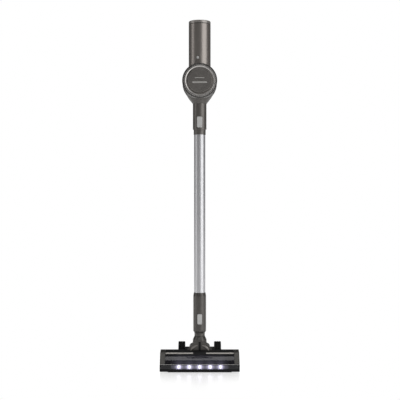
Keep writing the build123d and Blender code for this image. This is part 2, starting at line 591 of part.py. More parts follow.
def dust_cup():
    inside = CUP_R - CUP_WALL
    cup = rod_z(CUP_R, (940.0, CUP_TOP)) - rod_z(inside, (930.0, CUP_TOP + 1))
    cup += rod_z(inside + 0.5, (CUP_FLOOR, CUP_FLOOR + 2.5))
    for radius, y in ((DUCT_R - 1.0, DUCT_Y), (CLEAN_R, CLEAN_Y)):
        cup -= rod_z(radius, (CUP_FLOOR - 1, CUP_FLOOR + 4.0), 0.0, y)
    cup -= rod_y(SADDLE_R, (-60.0, 60.0), 0.0, DISC_Z)
    inlet = rod_z(DUCT_R - 1.0, (CUP_FLOOR + 1.0, 1042.0), 0.0, DUCT_Y - 1.2)
    inlet -= rod_z(DUCT_R - 2.2, (980.0, 1036.0), 0.0, DUCT_Y - 1.2)
    inlet -= block((-20.0, 2.0), (0.0, DUCT_Y + 4.0), (1022.0, 1034.0))
    cup += inlet
    x, z = CUP_BUTTON
    seat = rod_y(CUP_BUTTON_R + 2.5, (-CUP_R, -CUP_R + 6.0), x, z) & rod_z(CUP_R, (z - 10, z + 10))
    cup += seat
    cup -= rod_y(CUP_BUTTON_R + PART_GAP, (-CUP_R - 1, -CUP_R + 4.4), x, z)
    lug = block((8.0, 14.0), (CUP_R - 3.0, HINGE_Y + KNUCKLE_R), (1092.0, HINGE_Z))
    lug += rod_x(KNUCKLE_R, (8.0, 14.0), HINGE_Y, HINGE_Z)
    lug -= rod_z(inside, (1080.0, CUP_TOP + 1))
    lug -= block((0.0, 20.0), (0.0, CUP_R + PART_GAP), (CUP_TOP, 1120.0))
    for side in pair(lug):
        cup += side
    cup -= rod_x(HINGE_PIN_R, (-20.0, 20.0), HINGE_Y, HINGE_Z)
    save("dust_cup", cup)
    save("cup_button", rod_y(CUP_BUTTON_R, (-CUP_R - 0.4, -CUP_R + 2.2), x, z))
    save("lid_hinge_pin", rod_x(HINGE_PIN_R, (-13.8, 13.8), HINGE_Y, HINGE_Z))
    seal = rod_z(CUP_R - 1.0, (CUP_TOP, LID_BOTTOM - 0.1)) - rod_z(inside - 2.0, (1000.0, 1110.0))
    save("lid_seal", seal)

    shroud_r = 16.5
    shroud = rod_z(shroud_r, (CUP_FLOOR + 2.5, 1064.0), 0.0, CLEAN_Y)
    shroud = rounded(shroud, shroud.edges().filter_by(GeomType.CIRCLE).sort_by(Axis.Z)[-1:], 4.0)
    shroud -= rod_z(shroud_r - 1.6, (980.0, 1060.0), 0.0, CLEAN_Y)
    save("mesh_shroud", shroud)
    pleats, crest, valley = 20, 12.8, 10.4
    ridge = []
    for step in range(2 * pleats):
        reach, turn = (crest if step % 2 else valley), math.pi * step / pleats
        ridge.append((reach * math.cos(turn), reach * math.sin(turn)))
    core = extrude(Plane.XY.offset(CUP_FLOOR + 3.0) * Pos(0, CLEAN_Y) * outline(ridge), 60.0)
    core -= rod_z(7.0, (980.0, 1042.0), 0.0, CLEAN_Y)
    save("pleated_filter", core)


def dust_lid():
    lid = rod_z(CUP_R, (LID_BOTTOM, LID_TOP))
    rim_edges = lid.edges().filter_by(GeomType.CIRCLE).sort_by(Axis.Z)[-1:]
    lid = rounded(lid, rim_edges, 2.2)
    lid -= rod_z(CUP_R - 4.0, (LID_BOTTOM - 1, LID_TOP - 3.0))
    knuckle = rod_x(KNUCKLE_R, (-7.7, 7.7), HINGE_Y, HINGE_Z)
    knuckle += block((-7.7, 7.7), (30.0, HINGE_Y), (HINGE_Z - 1.0, HINGE_Z + KNUCKLE_R))
    knuckle -= rod_z(CUP_R - 2.0, (1090.0, 1112.0))
    lid += knuckle
    lid -= rod_x(HINGE_PIN_R + RUN_GAP, (-9.0, 9.0), HINGE_Y, HINGE_Z)
    lid -= lid_clasp()
    save("dust_lid", lid)
    save("lid_clasp", lid_clasp())


def lid_clasp():
    """The bright catch plate let into the front of the lid."""
    half, low, high = 26.3, LID_BOTTOM + 1.6, LID_TOP - 2.5
    band = rod_z(CUP_R - 0.1, (low, high)) - rod_z(CUP_R - 1.6, (low - 1, high + 1))
    return band & block((-half, half), (-CUP_R - 1, 0.0), (low, high))


# ---------------------------------------------------------------- hand unit: handle and battery

def handle_outline(inset):
    outer = outline([(37.4, GRIP_BOTTOM), (98.0, GRIP_BOTTOM), (GRIP_REAR, 975.0), (GRIP_REAR, 1066.0),
                     (96.0, GRIP_TOP), (37.4, GRIP_TOP)])
    hole = outline([(GAP_FRONT, GAP_Z[0]), (GAP_REAR, GAP_Z[0]), (GAP_REAR, GAP_Z[1]), (GAP_FRONT, GAP_Z[1])])
    outer = fillet(outer.vertices().filter_by(lambda v: v.X > 90.0), 8.0)
    hole = fillet(hole.vertices(), 9.0)
    if inset:
        outer = offset(outer, -inset)
        hole = offset(hole, inset)
    return outer - hole


def handle():
    body = across(handle_outline(0.0), (0.0, GRIP_HALF))
    outer_face = body.faces().sort_by(Axis.X)[-1]
    body = rounded(body, outer_face.edges(), 6.0)
    body -= across(handle_outline(2.6), (-1.0, GRIP_HALF - 2.6))
    low, high = TRIGGER_Z
    trigger_slot = (low - PART_GAP, high + PART_GAP)
    body -= block((-1.0, 6.0 + PART_GAP), (GAP_REAR - 4.0, GAP_REAR + 12.0), trigger_slot)
    body -= rod_z(MODE_R + PART_GAP, (GRIP_TOP - 8.0, GRIP_TOP + 1), 0.0, MODE_Y)
    body -= block((-1.0, 9.2), (80.0, 94.0), (GRIP_TOP - 1.4, GRIP_TOP + 1))
    save_pair("handle_shell", body)
    trigger = block((-6.0, 6.0), (GAP_REAR - 5.0, GAP_REAR + 4.5), TRIGGER_Z)
    trigger = rounded(trigger, trigger.faces().sort_by(Axis.Y)[0].edges(), 2.0)
    save("trigger", trigger)
    save("mode_button", rod_z(MODE_R, (GRIP_TOP - 3.4, GRIP_TOP + 0.5), 0.0, MODE_Y))
    save("display_panel", block((-9.2, 9.2), (80.0, 94.0), (GRIP_TOP - 1.4, GRIP_TOP)))
    board = block((-12.0, 12.0), (43.5, 45.1), (972.0, 1062.0))
    board += block((-6.0, 6.0), (41.4, 43.5), (1000.0, 1014.0))
    board += block((-8.0, 0.0), (41.9, 43.5), (1030.0, 1040.0))
    save("control_board", board)


def battery():
    dock = block((-BATTERY_X, BATTERY_X), (HOUSING_REAR + 0.1, 43.0), (876.0, 949.8))
    dock += block((-BATTERY_X, BATTERY_X), (40.0, 82.0), (876.0, 881.2))
    dock = rounded(dock, dock.edges().filter_by(Axis.Z).group_by(Axis.Y)[-1], 3.0)
    dock -= block((-20.0, 20.0), (HOUSING_REAR, 44.0), (890.0, 935.0))
    save("battery_dock", dock)
    case = block((-BATTERY_X, BATTERY_X), BATTERY_Y, BATTERY_Z)
    case = rounded(case, case.edges().filter_by(Axis.X), 5.0)
    case = rounded(case, case.edges().group_by(Axis.X)[0] + case.edges().group_by(Axis.X)[-1], 1.6)
    wall = 1.6
    case -= block((-BATTERY_X + wall, BATTERY_X - wall), (BATTERY_Y[0] + wall, BATTERY_Y[1] - 2 * wall),
                  (BATTERY_Z[0] + wall, BATTERY_Z[1] - wall))
    latch_z = 938.0
    case -= block((-9.3, 9.3), (BATTERY_Y[1] - 2.6, BATTERY_Y[1] + 1), (latch_z - 5.3, latch_z + 5.3))
    boss = rod_y(SOCKET_BORE + 1.6, (BATTERY_Y[1] - SOCKET_DEPTH - 1.6, BATTERY_Y[1] - 1.0), 0.0, SOCKET_Z)
    case += boss
    case -= rod_y(SOCKET_BORE, (BATTERY_Y[1] - SOCKET_DEPTH, BATTERY_Y[1] + 1), 0.0, SOCKET_Z)
    save("battery_case", case)
    latch = block((-9.0, 9.0), (BATTERY_Y[1] - 1.2, BATTERY_Y[1] + 1.2), (latch_z - 5.0, latch_z + 5.0))
    latch = rounded(latch, latch.edges().filter_by(Axis.Y), 1.5)
    save("battery_latch", latch)
    cells = []
    cell_r = 9.1
    for column in range(2):
        for row in range(3):
            y = BATTERY_Y[0] + 11.2 + column * 18.9
            z = BATTERY_Z[0] + 13.0 + row * 18.9
            cells.append(rod_x(cell_r, (-32.5, 32.5), y, z))
    save("battery_cells", *cells)


head_casing()
head_front()
head_underside()
head_drive()
rear_wheels()
tilt_yoke()
lower_neck()
wand()
inlet_socket()
motor_housing()
motor_unit()
front_cover()
dust_cup()
dust_lid()
handle()
battery()
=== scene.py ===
import bpy
import bmesh
import json
import math
import random
from mathutils import Matrix, Vector


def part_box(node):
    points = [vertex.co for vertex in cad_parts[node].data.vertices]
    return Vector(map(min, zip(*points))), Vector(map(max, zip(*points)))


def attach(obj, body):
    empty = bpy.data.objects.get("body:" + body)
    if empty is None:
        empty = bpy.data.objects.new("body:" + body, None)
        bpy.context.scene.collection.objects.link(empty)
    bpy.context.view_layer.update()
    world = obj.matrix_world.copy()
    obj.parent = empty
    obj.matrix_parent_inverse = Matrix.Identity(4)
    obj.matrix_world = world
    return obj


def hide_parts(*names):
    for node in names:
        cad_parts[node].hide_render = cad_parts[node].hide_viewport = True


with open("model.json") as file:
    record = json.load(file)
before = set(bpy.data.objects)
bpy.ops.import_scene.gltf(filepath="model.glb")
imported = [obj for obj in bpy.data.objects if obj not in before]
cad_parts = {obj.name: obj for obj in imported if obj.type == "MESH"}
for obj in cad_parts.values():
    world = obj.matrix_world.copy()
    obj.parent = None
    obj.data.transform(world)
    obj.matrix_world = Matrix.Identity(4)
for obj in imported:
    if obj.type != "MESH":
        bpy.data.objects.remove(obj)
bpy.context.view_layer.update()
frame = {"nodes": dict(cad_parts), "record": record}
node = frame["nodes"]

# Places taken from the frame.
LENS_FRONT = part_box("lamp_lens")[0][1]
LAMP_LOW, LAMP_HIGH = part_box("lamps")
FACE_LOW, FACE_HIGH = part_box("front_cover")
TUBE_LOW, TUBE_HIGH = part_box("wand_tube")
LAMP_COUNT = 5
LAMP_SIZE = LAMP_HIGH[2] - LAMP_LOW[2]
LAMP_PITCH = (LAMP_HIGH[0] - LAMP_LOW[0] - LAMP_SIZE) / (LAMP_COUNT - 1)
LAMP_Z = (LAMP_LOW[2] + LAMP_HIGH[2]) / 2
AXIS_Y = (TUBE_LOW[1] + TUBE_HIGH[1]) / 2
DISC_Z = (FACE_LOW[2] + FACE_HIGH[2]) / 2
GRIP_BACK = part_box("handle_shell_left")[1][1]
BATTERY_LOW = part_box("battery_case")[0][2]
MM = 0.001

# Camera: eye level and distance from the wand's axis in metres, lens and sensor in millimetres.
EYE_HEIGHT = 0.5386
EYE_DISTANCE = 2.66
LENS_LENGTH = 74.58
SENSOR_WIDTH = 36.0
FRAME_SHIFT = 0.0008

# Paints.
TITANIUM = (0.130, 0.121, 0.112)
# SHADED_TITANIUM is the titanium paint at 0.65 of its brightness: painted shade, a darker copy of one
# paint for the neck, yoke and motor housing.
SHADED_TITANIUM = (0.085, 0.079, 0.073)
DISC_PAINT = (0.150, 0.140, 0.130)

# Light levels.
FLOOR_GLOW = 1.6
ROOM_FRONT = 0.15
ROOM_SIDE = 0.12
ROOM_BACK = 0.10
CARD_POWER = 75.0
KEY_POWER = 17.0
FILL_POWER = 4.6
TOP_POWER = 9.0

# The floor mirrors within the first distance from the axis, and is plain white beyond the second.
POOL_NEAR = 0.10
POOL_FAR = 0.34
FLOOR_SIZE = 14.0

# Painted rays and haze round the lamps, emitted by the lens plastic.
RAY_COUNT = 8
RAY_SHARPNESS = 22.0
RAY_REACH = 4.2 * MM
HAZE_REACH = 14.0 * MM

# Helical rows of the brush.
BRUSH_ROWS = 4
BRUSH_TWIST = math.pi * 1.3


# ------------------------------------------------------------------ camera, floor, light

def set_camera():
    data = bpy.data.cameras.new("camera")
    data.sensor_width = SENSOR_WIDTH
    data.lens = LENS_LENGTH
    data.shift_x = FRAME_SHIFT
    camera = bpy.data.objects.new("camera", data)
    camera.location = (0.0, AXIS_Y - EYE_DISTANCE, EYE_HEIGHT)
    camera.rotation_euler = (math.radians(90.0), 0.0, 0.0)
    bpy.context.scene.collection.objects.link(camera)
    bpy.context.scene.camera = camera


def set_floor():
    """White glossy floor: it mirrors the head close by, and is as white as the backdrop further out."""
    bpy.ops.mesh.primitive_plane_add(size=FLOOR_SIZE, location=(0.0, 0.0, 0.0))
    floor = bpy.context.object
    floor.name = "studio_floor"
    mat = bpy.data.materials.new("studio_floor")
    mat.use_nodes = True
    tree = mat.node_tree
    tree.nodes.clear()
    out = tree.nodes.new("ShaderNodeOutputMaterial")
    glow = add(tree, "ShaderNodeEmission", Color=(1.0, 1.0, 1.0, 1.0), Strength=FLOOR_GLOW)
    gloss = add(tree, "ShaderNodeBsdfGlossy", Color=(1.0, 1.0, 1.0, 1.0), Roughness=0.3)
    matt = add(tree, "ShaderNodeBsdfDiffuse", Color=(0.8, 0.8, 0.8, 1.0))
    soft = add(tree, "ShaderNodeMixShader", Fac=0.6)
    both = add(tree, "ShaderNodeMixShader", Fac=0.62)
    tree.links.new(matt.outputs[0], soft.inputs[1])
    tree.links.new(gloss.outputs[0], soft.inputs[2])
    tree.links.new(glow.outputs[0], both.inputs[1])
    tree.links.new(soft.outputs[0], both.inputs[2])
    coords = tree.nodes.new("ShaderNodeTexCoord")
    away = add(tree, "ShaderNodeVectorMath")
    away.operation = "DISTANCE"
    away.inputs[1].default_value = (0.0, AXIS_Y, 0.0)
    tree.links.new(coords.outputs["Object"], away.inputs[0])
    far = add(tree, "ShaderNodeMapRange", From_Min=POOL_NEAR, From_Max=POOL_FAR)
    far.interpolation_type = "SMOOTHSTEP"
    tree.links.new(away.outputs["Value"], far.inputs["Value"])
    path = tree.nodes.new("ShaderNodeLightPath")
    seen_far = math_node(tree, "MULTIPLY", far.outputs["Result"], path.outputs["Is Camera Ray"])
    blank = add(tree, "ShaderNodeEmission", Color=(1.0, 1.0, 1.0, 1.0), Strength=1.0)
    whole = tree.nodes.new("ShaderNodeMixShader")
    tree.links.new(seen_far, whole.inputs["Fac"])
    tree.links.new(both.outputs[0], whole.inputs[1])
    tree.links.new(blank.outputs[0], whole.inputs[2])
    tree.links.new(whole.outputs[0], out.inputs["Surface"])
    floor.data.materials.append(mat)
    return floor


def set_world():
    """White backdrop for the eye. What the object mirrors is a dim room."""
    world = bpy.data.worlds.new("studio")
    bpy.context.scene.world = world
    world.use_nodes = True
    tree = world.node_tree
    room = tree.nodes["Background"]
    room.inputs["Strength"].default_value = 1.0
    coords = tree.nodes.new("ShaderNodeTexCoord")
    split = tree.nodes.new("ShaderNodeSeparateXYZ")
    tree.links.new(coords.outputs["Generated"], split.inputs[0])
    across = add(tree, "ShaderNodeMapRange", From_Min=-1.0, From_Max=1.0)
    tree.links.new(split.outputs["Y"], across.inputs["Value"])
    ramp = tree.nodes.new("ShaderNodeValToRGB")
    tree.links.new(across.outputs["Result"], ramp.inputs["Fac"])
    stops = ramp.color_ramp.elements
    stops[0].color = (ROOM_FRONT, ROOM_FRONT, ROOM_FRONT, 1.0)
    stops[1].color = (ROOM_BACK, ROOM_BACK, ROOM_BACK, 1.0)
    side = stops.new(0.5)
    side.color = (ROOM_SIDE, ROOM_SIDE, ROOM_SIDE, 1.0)
    tree.links.new(ramp.outputs["Color"], room.inputs["Color"])
    white = add(tree, "ShaderNodeBackground", Color=(1.0, 1.0, 1.0, 1.0), Strength=1.0)
    path = tree.nodes.new("ShaderNodeLightPath")
    choose = tree.nodes.new("ShaderNodeMixShader")
    tree.links.new(path.outputs["Is Camera Ray"], choose.inputs[0])
    tree.links.new(room.outputs[0], choose.inputs[1])
    tree.links.new(white.outputs[0], choose.inputs[2])
    tree.links.new(choose.outputs[0], tree.nodes["World Output"].inputs["Surface"])


def soft_light(name, place, target, size, power):
    data = bpy.data.lights.new(name, "AREA")
    data.shape = "RECTANGLE"
    data.size, data.size_y = size
    data.energy = power
    lamp = bpy.data.objects.new(name, data)
    lamp.location = place
    lamp.visible_camera = False
    lamp.rotation_euler = (Vector(target) - Vector(place)).to_track_quat("-Z", "Y").to_euler()
    bpy.context.scene.collection.objects.link(lamp)
    return lamp


def set_lights(floor):
    """Two tall soft boxes, a soft light overhead, and a white card behind that lights only the floor."""
    card = soft_light("back_card", (0.0, 3.2, 1.9), (0.0, 0.0, 1.9), (6.0, 3.2), CARD_POWER)
    only_floor = bpy.data.collections.new("card_lights")
    only_floor.objects.link(floor)
    card.light_linking.receiver_collection = only_floor
    soft_light("box_right", (1.25, -1.05, 0.85), (0.0, 0.0, 0.6), (1.5, 2.2), KEY_POWER)
    soft_light("box_left", (-1.55, -0.35, 0.85), (0.0, 0.0, 0.6), (0.6, 2.2), FILL_POWER)
    soft_light("overhead", (0.0, -0.1, 2.5), (0.0, 0.0, 0.0), (1.2, 1.2), TOP_POWER)


# ------------------------------------------------------------------ materials

def shader_of(name):
    mat = bpy.data.materials.new(name)
    mat.use_nodes = True
    tree = mat.node_tree
    return mat, tree, tree.nodes["Principled BSDF"]


def add(tree, kind, **values):
    """A node with these input values set by name."""
    made = tree.nodes.new(kind)
    for key, value in values.items():
        made.inputs[key.replace("_", " ")].default_value = value
    return made


def object_noise(tree, scale, detail=3.0, stretch=(1.0, 1.0, 1.0)):
    coords = tree.nodes.new("ShaderNodeTexCoord")
    mapping = tree.nodes.new("ShaderNodeMapping")
    mapping.inputs["Scale"].default_value = stretch
    noise = add(tree, "ShaderNodeTexNoise", Scale=scale, Detail=detail)
    tree.links.new(coords.outputs["Object"], mapping.inputs["Vector"])
    tree.links.new(mapping.outputs["Vector"], noise.inputs["Vector"])
    return noise.outputs["Fac"]


def shade(color, factor):
    return tuple(min(1.0, channel * factor) for channel in color) + (1.0,)


def surface(name, color, rough, metal=0.0, spread=0.1, grain=1800.0, depth=0.05, rough_spread=0.06,
            stretch=(1.0, 1.0, 1.0), coat=0.0, specular=0.5, broad=18.0):
    """Moulded, painted or metal surface: uneven colour and gloss, and a fine grain in relief."""
    mat, tree, shader = shader_of(name)
    shader.inputs["Metallic"].default_value = metal
    shader.inputs["Specular IOR Level"].default_value = specular
    shader.inputs["Coat Weight"].default_value = coat
    shader.inputs["Coat Roughness"].default_value = 0.12
    cloud = object_noise(tree, broad, 5.0, stretch)
    fine = object_noise(tree, grain, 3.0, stretch)
    blend = add(tree, "ShaderNodeMapRange", From_Min=0.3, From_Max=0.7)
    tree.links.new(cloud, blend.inputs["Value"])
    tint = tree.nodes.new("ShaderNodeMix")
    tint.data_type = "RGBA"
    tint.inputs["A"].default_value = shade(color, 1.0 - spread)
    tint.inputs["B"].default_value = shade(color, 1.0 + spread)
    tree.links.new(blend.outputs["Result"], tint.inputs["Factor"])
    tree.links.new(tint.outputs["Result"], shader.inputs["Base Color"])
    gloss = add(tree, "ShaderNodeMapRange", From_Min=0.25, From_Max=0.75,
                To_Min=max(0.02, rough - rough_spread), To_Max=rough + rough_spread)
    mixed = add(tree, "ShaderNodeMath")
    mixed.operation = "MULTIPLY_ADD"
    mixed.inputs[1].default_value = 0.5
    tree.links.new(fine, mixed.inputs[0])
    half = add(tree, "ShaderNodeMath")
    half.operation = "MULTIPLY"
    half.inputs[1].default_value = 0.5
    tree.links.new(cloud, half.inputs[0])
    tree.links.new(half.outputs[0], mixed.inputs[2])
    tree.links.new(mixed.outputs[0], gloss.inputs["Value"])
    tree.links.new(gloss.outputs["Result"], shader.inputs["Roughness"])
    bump = add(tree, "ShaderNodeBump", Strength=0.35, Distance=depth * MM)
    tree.links.new(fine, bump.inputs["Height"])
    tree.links.new(bump.outputs["Normal"], shader.inputs["Normal"])
    return mat


def smoked(name, color, rough=0.06, through=0.9, glow=None, rays=0.0, haze=0.0):
    """Tinted clear plastic with faint moulding flow in it; glow paints the lamps' light into the plastic
    as emission, a painted glow.
    """
    mat, tree, shader = shader_of(name)
    flow = object_noise(tree, 40.0, 2.0, (1.0, 1.0, 3.0))
    gloss = add(tree, "ShaderNodeMapRange", From_Min=0.3, From_Max=0.7,
                To_Min=rough * 0.6, To_Max=rough * 1.4)
    tree.links.new(flow, gloss.inputs["Value"])
    tree.links.new(gloss.outputs["Result"], shader.inputs["Roughness"])
    tint = tree.nodes.new("ShaderNodeMix")
    tint.data_type = "RGBA"
    tint.inputs["A"].default_value = shade(color, 0.92)
    tint.inputs["B"].default_value = shade(color, 1.08)
    tree.links.new(flow, tint.inputs["Factor"])
    tree.links.new(tint.outputs["Result"], shader.inputs["Base Color"])
    bump = add(tree, "ShaderNodeBump", Strength=0.08, Distance=0.2 * MM)
    tree.links.new(flow, bump.inputs["Height"])
    tree.links.new(bump.outputs["Normal"], shader.inputs["Normal"])
    shader.inputs["Transmission Weight"].default_value = through
    shader.inputs["Specular IOR Level"].default_value = 0.2
    shader.inputs["IOR"].default_value = 1.49
    if glow:
        # Painted glow: the plastic itself emits a violet light round the lamps.
        shader.inputs["Emission Color"].default_value = (0.76, 0.72, 0.98, 1.0)
        tree.links.new(painted_lamp_glow(tree, *glow, rays, haze), shader.inputs["Emission Strength"])
    return mat


def math_node(tree, operation, first, second=None):
    made = tree.nodes.new("ShaderNodeMath")
    made.operation = operation
    for slot, value in enumerate((first, second)):
        if value is None:
            continue
        if isinstance(value, (int, float)):
            made.inputs[slot].default_value = value
        else:
            tree.links.new(value, made.inputs[slot])
    return made.outputs[0]


def object_axes(tree):
    """The X, Y and Z of the shaded point, in the object's own frame."""
    coords = tree.nodes.new("ShaderNodeTexCoord")
    split = tree.nodes.new("ShaderNodeSeparateXYZ")
    tree.links.new(coords.outputs["Object"], split.inputs[0])
    return split.outputs


def distance_between(tree, first, second):
    """Length of the diagonal whose two sides are given."""
    squares = [math_node(tree, "MULTIPLY", side, side) for side in (first, second)]
    return math_node(tree, "SQRT", math_node(tree, "ADD", *squares))


def falloff(tree, away, reach):
    """One at the source, falling by e over each reach."""
    return math_node(tree, "EXPONENT", math_node(tree, "DIVIDE", away, -reach))


def painted_lamp_glow(tree, reach, strength, rays, haze):
    """Painted glow in the plastic, given as emission strength: a halo round each lamp, eight painted rays
    from it, and a faint painted haze between them.
    """
    axes = object_axes(tree)
    across = math_node(tree, "ABSOLUTE", axes["X"])
    edge = LAMP_PITCH * LAMP_COUNT / 2
    inside = add(tree, "ShaderNodeMapRange", From_Min=edge * 0.86, From_Max=edge * 1.12,
                 To_Min=1.0, To_Max=0.0)
    tree.links.new(across, inside.inputs["Value"])
    local = math_node(tree, "PINGPONG", across, LAMP_PITCH / 2)
    rise = math_node(tree, "SUBTRACT", axes["Z"], LAMP_Z)
    away = distance_between(tree, local, rise)
    core = math_node(tree, "MULTIPLY", falloff(tree, away, reach), strength)
    turn = math_node(tree, "ARCTAN2", rise, local)
    wave = math_node(tree, "COSINE", math_node(tree, "MULTIPLY", turn, RAY_COUNT / 2))
    spike = math_node(tree, "POWER", math_node(tree, "ABSOLUTE", wave), RAY_SHARPNESS)
    fade = falloff(tree, away, RAY_REACH)
    star = math_node(tree, "MULTIPLY", math_node(tree, "MULTIPLY", spike, fade), rays)
    veil = math_node(tree, "MULTIPLY", falloff(tree, away, HAZE_REACH), haze)
    total = math_node(tree, "ADD", math_node(tree, "ADD", core, star), veil)
    return math_node(tree, "MULTIPLY", total, inside.outputs["Result"])


def ripple(tree, place, pitch):
    """A sine with one wave to each pitch of the place."""
    return math_node(tree, "SINE", math_node(tree, "MULTIPLY", place, 2.0 * math.pi / pitch))


def ridged(name, color, rough, axis, pitch, relief, inside=None, **more):
    """A moulded surface with straight ridges across an axis, all over or only in a zone of the object."""
    mat = surface(name, color, rough, **more)
    tree = mat.node_tree
    shader = tree.nodes["Principled BSDF"]
    axes = object_axes(tree)
    wave = ripple(tree, axes[axis], pitch)
    height = math_node(tree, "SMOOTH_MIN", wave, 0.4)
    if inside:
        zone_axis, low, high = inside
        above = math_node(tree, "GREATER_THAN", axes[zone_axis], low)
        below = math_node(tree, "LESS_THAN", axes[zone_axis], high)
        height = math_node(tree, "MULTIPLY", height, math_node(tree, "MULTIPLY", above, below))
    add_bump(tree, shader, height, relief)
    return mat


def add_bump(tree, shader, height, depth):
    """Relief on top of the grain that the surface already has."""
    before = shader.inputs["Normal"].links[0].from_socket
    relief = add(tree, "ShaderNodeBump", Strength=1.0, Distance=depth)
    tree.links.new(height, relief.inputs["Height"])
    tree.links.new(before, relief.inputs["Normal"])
    tree.links.new(relief.outputs["Normal"], shader.inputs["Normal"])


def rings(name, color, rough, centre, pitch, relief, **more):
    """A turned surface: fine rings about an axis along Y through centre (x, z)."""
    mat = surface(name, color, rough, **more)
    tree = mat.node_tree
    shader = tree.nodes["Principled BSDF"]
    add_bump(tree, shader, ripple(tree, radius_from(tree, centre), pitch), relief)
    return mat


def radius_from(tree, centre):
    """Distance from an axis along Y through centre (x, z)."""
    axes = object_axes(tree)
    side = math_node(tree, "SUBTRACT", axes["X"], centre[0])
    rise = math_node(tree, "SUBTRACT", axes["Z"], centre[1])
    return distance_between(tree, side, rise)


def perforated(name, color, rough, pitch, hole, **more):
    """Sheet with a grid of round holes, each painted near-black in the base colour: painted shade for the
    dark inside of the hole.
    """
    mat = surface(name, color, rough, **more)
    tree = mat.node_tree
    shader = tree.nodes["Principled BSDF"]
    coords = tree.nodes.new("ShaderNodeTexCoord")
    cells = tree.nodes.new("ShaderNodeTexVoronoi")
    cells.inputs["Scale"].default_value = 1.0 / pitch
    cells.inputs["Randomness"].default_value = 0.0
    tree.links.new(coords.outputs["Object"], cells.inputs["Vector"])
    solid = add(tree, "ShaderNodeMapRange", From_Min=hole * 0.85, From_Max=hole)
    tree.links.new(cells.outputs["Distance"], solid.inputs["Value"])
    before = shader.inputs["Base Color"].links[0].from_socket
    # Painted shade: the holes are near-black in the colour, with a bump at their rims.
    hole_shade = tree.nodes.new("ShaderNodeMix")
    hole_shade.data_type = "RGBA"
    hole_shade.inputs["A"].default_value = (0.004, 0.004, 0.004, 1.0)
    tree.links.new(solid.outputs["Result"], hole_shade.inputs["Factor"])
    tree.links.new(before, hole_shade.inputs["B"])
    tree.links.new(hole_shade.outputs["Result"], shader.inputs["Base Color"])
    add_bump(tree, shader, solid.outputs["Result"], 0.06 * MM)
    return mat


